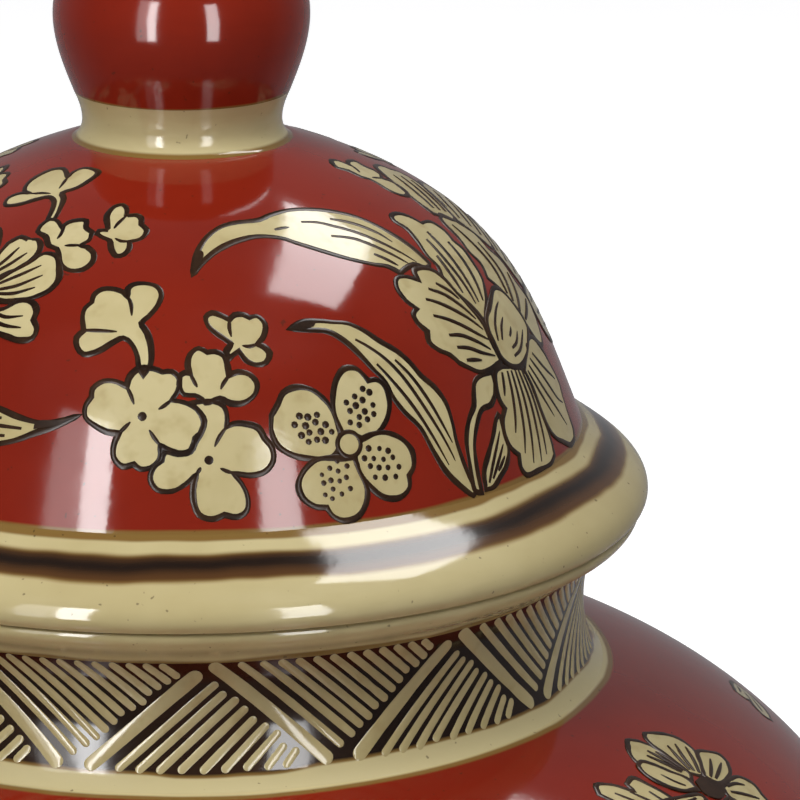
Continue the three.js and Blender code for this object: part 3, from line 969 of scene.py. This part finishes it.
body_inside = within(inset(BODY_OUTLINE, BODY_WALL), BODY_INSIDE_Z)
BODY_PROFILE = [(0, FOOT_Z), *BODY_OUTLINE, (MOUTH_R, NECK_Z), (MOUTH_R + 0.6, 241), *body_inside,
                (72, FLOOR_Z + 0.6), (68, FLOOR_Z), (0, FLOOR_Z)]
DOME_PROFILE = [*DOME_OUTLINE, (0, CROWN_Z), (0, CEILING_Z),
                *within(inset(DOME_OUTLINE, LID_WALL), LID_INSIDE_Z), (DOME_MOUTH_R, DOME_Z)]
FOOT_PROFILE = [(65.5, 0), (77.5, 0), (78.4, 0.4), (79, 1.5), (79, FOOT_Z), (64, FOOT_Z),
                (64, 1.5), (64.6, 0.4)]
FLANGE_PROFILE = [(FLANGE_R, 257.6), (53, 257.4), (55.8, 257.4), (56.9, 257.9), (57.3, 258.9),
                  (57.3, FLANGE_Z), (FLANGE_R, FLANGE_Z)]
LIP_PROFILE = [*LIP_OUTLINE, (61, SEAT_Z), (59.9, 271.9), (MOUTH_R, 271), (MOUTH_R, LIP_Z)]
NECK_PROFILE = [*NECK_OUTLINE, (MOUTH_R, LIP_Z), (MOUTH_R, NECK_Z)]
BRIM_PROFILE = [*joined(BRIM_UNDER, BRIM_ROLL), (DOME_MOUTH_R, DOME_Z), (55.4, 279),
                (FLANGE_R, FLANGE_Z)]
COLLAR_PROFILE = [(0, CROWN_Z), *joined(COLLAR_FLARE, COLLAR_RISE), (0, KNOB_Z)]
KNOB_PROFILE = [(0, KNOB_Z), *joined(KNOB_BUD, KNOB_CROWN)]

# Each piece: name, profile, sides, body, glaze, material slot, and the CAD nodes it stands for.
PIECES = (
    ("turned_foot", FOOT_PROFILE, 192, "jar", clay, "bare_clay", "foot_ring"),
    ("glazed_body", BODY_PROFILE, 256, "jar", red_body, "red_glaze", "jar_body", "jar_shoulder"),
    ("painted_neck", NECK_PROFILE, 256, "jar", dark_neck, "brown_glaze", "jar_neck"),
    ("rolled_lip", LIP_PROFILE, 256, "jar", cream_lip, "cream_glaze", "jar_lip"),
    ("seat_flange", FLANGE_PROFILE, 192, "lid", clay, "bare_clay", "lid_flange"),
    ("rolled_brim", BRIM_PROFILE, 256, "lid", cream_brim, "cream_glaze", "lid_brim"),
    ("glazed_dome", DOME_PROFILE, 256, "lid", red_dome, "red_glaze", "lid_dome"),
    ("waisted_collar", COLLAR_PROFILE, 160, "lid", cream_collar, "cream_glaze", "knob_collar"),
    ("bud_knob", KNOB_PROFILE, 160, "lid", red_knob, "red_glaze", "lid_knob"),
)
for name, profile, sides, body, glaze, slot, *nodes in PIECES:
    install(lathe(name, profile, sides), body, glaze, slot, *nodes)

# The body carries the dome's flowers again, at about twice the size and from this far up its wall.
GROUP_FOOT = 90
GROUP_SCALE = 1.95
GROUP_RISE = 2.0
# Motifs that fill gaps: motif, azimuth, distance up the dome or from the neck's foot, scale, turn.
DOME_FILLERS = ((BUD_OPEN, 74, 56.5, 0.95, -40), (BUD_CLOVER, 108, 54, 1, 30))
SHOULDER_FILLER = (SHOULDER_LEAF, 97, -32, 0.8, 60)
HALVES = (0, 180)
THIRDS = (0, 120, 240)
lid_slips = (Relief("lid_flowers"), Relief("lid_outlines"))
jar_slips = (Relief("jar_flowers"), Relief("jar_outlines"))


def draw_group(surface, turned, foot, rise, scale, painted):
    """The dome's motifs, from foot upwards and turned about the jar's axis."""
    for motif in DOME_MOTIFS:
        azimuth, height = motif.centre
        stamp = Stamp(surface, azimuth + turned, foot + rise * height, scale)
        draw_motif(motif, DOME_CHART, stamp, painted)


# Each group is at the front and the back, and a striped flower is at each third of the shoulder.
for turned in HALVES:
    draw_group(DOME, turned, 0, 1, 1, lid_slips)
    for motif, azimuth, height, scale, turn in DOME_FILLERS:
        stamp = Stamp(DOME, azimuth + turned, height, scale, turn)
        draw_motif(motif, DOME_CHART, stamp, lid_slips)
for turned in HALVES:
    draw_group(BODY, turned, GROUP_FOOT, GROUP_RISE, GROUP_SCALE, jar_slips)
for turned in THIRDS:
    leaf = (SHOULDER_LEAF, *SHOULDER_LEAF.centre, 1, 0)
    flower = (SHOULDER_FLOWER, *SHOULDER_FLOWER.centre, 1, 0)
    for motif, azimuth, height, scale, turn in (leaf, flower, SHOULDER_FILLER):
        stamp = Stamp(BODY, azimuth + turned, BODY.length + height, scale, turn)
        draw_motif(motif, SHOULDER_CHART, stamp, jar_slips)

# The neck's zigzag: cream bars that slope one way, then the other. Starts are in degrees, leans
# in degrees across for each millimetre up, and the rest in millimetres up the neck.
ZIGZAGS = 10
UP_STARTS = (-13.35, -9.3, -6.6, -3.9, -1.1, 1.8, 4.6, 7.5, 10.3, 12.8)
DOWN_STARTS = (4.3, 8.0, 10.9, 13.3, 15.6, 18.0, 20.3, 22.7, 25.0, 27.3, 29.5, 31.7, 33.8)
UP_LEAN = 1.0
DOWN_LEAN = 0.93
UP_WIDTHS = (2.25, 1.32)
DOWN_WIDTHS = (2.15, 1.25)
BAR_LOWEST = 3.4
BAR_FOOT = 4.2
BAR_HIGHEST = 19.8
BAR_TOP = 20.0
BAR_CUT = 21.3
BAR_MARGIN = 1.3
BAR_SCATTER = 0.15
BAR_SWAY = 0.03
BAR_HEIGHT = 0.06
BAR_STEPS = 9
SWAY_FROM = 0.6
BAR_CAP = np.array([0.02, 0.18, 0.5, 1.0])
neck_bars = Relief("neck_bars")


def bar(start, end, width):
    """A cream bar with rounded ends from start to end, each (azimuth in degrees, distance up)."""
    across = math.radians(end[0] - start[0]) * NECK.radius((start[1] + end[1]) / 2)
    reach = np.array([across, end[1] - start[1]])
    length = np.linalg.norm(reach)
    half = width / 2
    shaft = np.linspace(half, length - half, BAR_STEPS)[1:-1]
    stops = np.concatenate([half * BAR_CAP, shaft, length - half * BAR_CAP[::-1]])
    near = np.minimum(np.minimum(stops, length - stops) / half, 1)
    rounded = np.sqrt(1 - (1 - near) ** 2)
    sway = HAND.normal(0, BAR_SWAY, len(stops)) * (near > SWAY_FROM)
    line = reach * (stops / length)[:, None]
    neck_bars.ridge(Stamp(NECK, *start), line, width * (rounded + sway), 0, BAR_HEIGHT)


# The first bar of each slope is broad, and the others stop short of the broad bar they meet.
meeting_up = DOWN_STARTS[0] + DOWN_LEAN * BAR_TOP + UP_LEAN * BAR_FOOT
meeting_down = DOWN_LEAN * BAR_TOP - (360 / ZIGZAGS + UP_STARTS[0]) + UP_LEAN * BAR_FOOT
for repeat in range(ZIGZAGS):
    turn = repeat * 360 / ZIGZAGS
    for i, start in enumerate(UP_STARTS):
        meeting = (meeting_up - start) / (UP_LEAN + DOWN_LEAN)
        top = min(BAR_HIGHEST, meeting - BAR_MARGIN) + HAND.normal(0, BAR_SCATTER)
        foot = BAR_LOWEST + HAND.normal(0, BAR_SCATTER)
        reach = UP_LEAN * (top - BAR_FOOT)
        bar((turn + start, foot), (turn + start + reach, top), UP_WIDTHS[min(i, 1)])
    for i, start in enumerate(DOWN_STARTS):
        meeting = (meeting_down + start) / (UP_LEAN + DOWN_LEAN)
        foot = max(BAR_LOWEST, meeting + BAR_MARGIN) + HAND.normal(0, BAR_SCATTER)
        lead = turn + start - DOWN_LEAN * (BAR_CUT - BAR_TOP)
        reach = DOWN_LEAN * (BAR_CUT - foot)
        bar((lead, BAR_CUT), (lead + reach, foot), DOWN_WIDTHS[min(i, 1)])

for body, (cream, dark) in (("lid", lid_slips), ("jar", jar_slips)):
    install(cream.build(), body, cream_slip, "cream_glaze")
    install(dark.build(), body, dark_slip, "brown_glaze")
install(neck_bars.build(), "jar", cream_slip, "cream_glaze")


# ---------------------------------------------------------------- floor, light and camera

WHITE = (1, 1, 1, 1)
FLOOR_TONES = ((0.86, 0.86, 0.86), (0.9, 0.9, 0.9))
TABLE_TONES = ((0.7, 0.69, 0.67), (0.76, 0.75, 0.73))
LIGHT_REACH = 2.0
AIM_Z = 0.3
# Each light: name, azimuth and elevation in degrees, width and height in metres, radiance.
SOFT_LIGHTS = (("soft_key", -40, 46, 1.0, 1.0, 10), ("soft_fill", 44, 60, 1.0, 1.0, 6.2))
WINDOWS = (
    ("left_window", -26.4, 8.5, 0.28, 1.74, 17),
    ("left_curtain", -36, 8.5, 0.32, 1.74, 3.6),
    ("right_window", 27.7, 6.7, 0.385, 1.59, 10.5),
)
SKYLIGHT_PLACE = (0.93, 0.6, 2.1)
SKY_TURNS = (-0.1, 0.9)
SKY_FRONT = (0.08, 0.08, 0.085, 1)
SKY_BACK = (0.26, 0.26, 0.27, 1)
LENS = 216
CAMERA_PLACE = (0, -0.757, 0.4985)
YAW_DEG = 2.67
PITCH_DEG = 15.545
ROLL_DEG = 0.3


def set_plane(name, size, place, tones, smoothest, glow):
    """A level plane of the set, which no glaze mirrors and which casts no shadow."""
    n = Nodes(name)
    n.set(n.shader, emission_color=WHITE, emission_strength=glow)
    bpy.ops.mesh.primitive_plane_add(size=size, location=place)
    plane = bpy.context.object
    plane.name = name
    colour = n.mix(n.noise(3, 3), *tones)
    plane.data.materials.append(n.finish(colour, smoothest, smoothest + 0.1, patches=20))
    plane.visible_glossy = False
    plane.visible_shadow = False
    return plane


# The camera sees the floor, and the table sends light back up to the jar.
floor = set_plane("studio_floor", 12, (0, 1.5, -0.0005), FLOOR_TONES, 0.7, 0.7)
floor.visible_diffuse = False
table = set_plane("table_bounce", 4, (0, 0, -0.002), TABLE_TONES, 0.8, 0)
table.visible_camera = False


def area_light(name, width, height, radiance):
    """A soft rectangular light that shines straight down."""
    light = bpy.data.lights.new(name, "AREA")
    light.shape = "RECTANGLE"
    light.size = width
    light.size_y = height
    light.energy = radiance * math.pi * width * height
    lamp = bpy.data.objects.new(name, light)
    bpy.context.scene.collection.objects.link(lamp)
    return lamp


def panel(name, azimuth_deg, elevation_deg, width, height, radiance):
    """A soft light that faces the lid from a direction."""
    azimuth, elevation = math.radians(azimuth_deg), math.radians(elevation_deg)
    level = math.cos(elevation)
    direction = Vector((
        math.sin(azimuth) * level, -math.cos(azimuth) * level, math.sin(elevation)
    ))
    lamp = area_light(name, width, height, radiance)
    lamp.location = Vector((0, 0, AIM_Z)) + LIGHT_REACH * direction
    lamp.rotation_euler = direction.to_track_quat("Z", "Y").to_euler()
    return lamp


# The two soft lights give the shading, and the windows and the skylight shine only in the glaze.
for soft_light in SOFT_LIGHTS:
    panel(*soft_light).visible_glossy = False
skylight = area_light("skylight", 0.68, 1.5, 9.5)
skylight.location = SKYLIGHT_PLACE
skylight.visible_diffuse = False
for window in WINDOWS:
    panel(*window).visible_diffuse = False

# The room is darker in front of the jar than behind it.
world = bpy.data.worlds.new("studio")
world.use_nodes = True
bpy.context.scene.world = world
sky = world.node_tree
direction = sky.nodes.new("ShaderNodeTexCoord")
parts = sky.nodes.new("ShaderNodeSeparateXYZ")
depth = sky.nodes.new("ShaderNodeMapRange")
shade = sky.nodes.new("ShaderNodeMix")
shade.data_type = "RGBA"
depth.inputs["From Min"].default_value, depth.inputs["From Max"].default_value = SKY_TURNS
shade.inputs[6].default_value = SKY_FRONT
shade.inputs[7].default_value = SKY_BACK
sky.links.new(direction.outputs["Generated"], parts.inputs[0])
sky.links.new(parts.outputs["Y"], depth.inputs["Value"])
sky.links.new(depth.outputs["Result"], shade.inputs["Factor"])
sky.links.new(shade.outputs[2], sky.nodes["Background"].inputs["Color"])

camera_data = bpy.data.cameras.new("camera")
camera_data.lens = LENS
camera_data.clip_start = 0.05
camera_data.clip_end = 50
camera = bpy.data.objects.new("camera", camera_data)
bpy.context.scene.collection.objects.link(camera)
camera.location = CAMERA_PLACE
yaw = Matrix.Rotation(-math.radians(YAW_DEG), 3, "Z")
pitch = Matrix.Rotation(math.radians(90 - PITCH_DEG), 3, "X")
roll = Matrix.Rotation(math.radians(ROLL_DEG), 3, "Z")
camera.rotation_euler = (yaw @ pitch @ roll).to_euler()
bpy.context.scene.camera = camera
bpy.context.scene.view_settings.view_transform = "Standard"
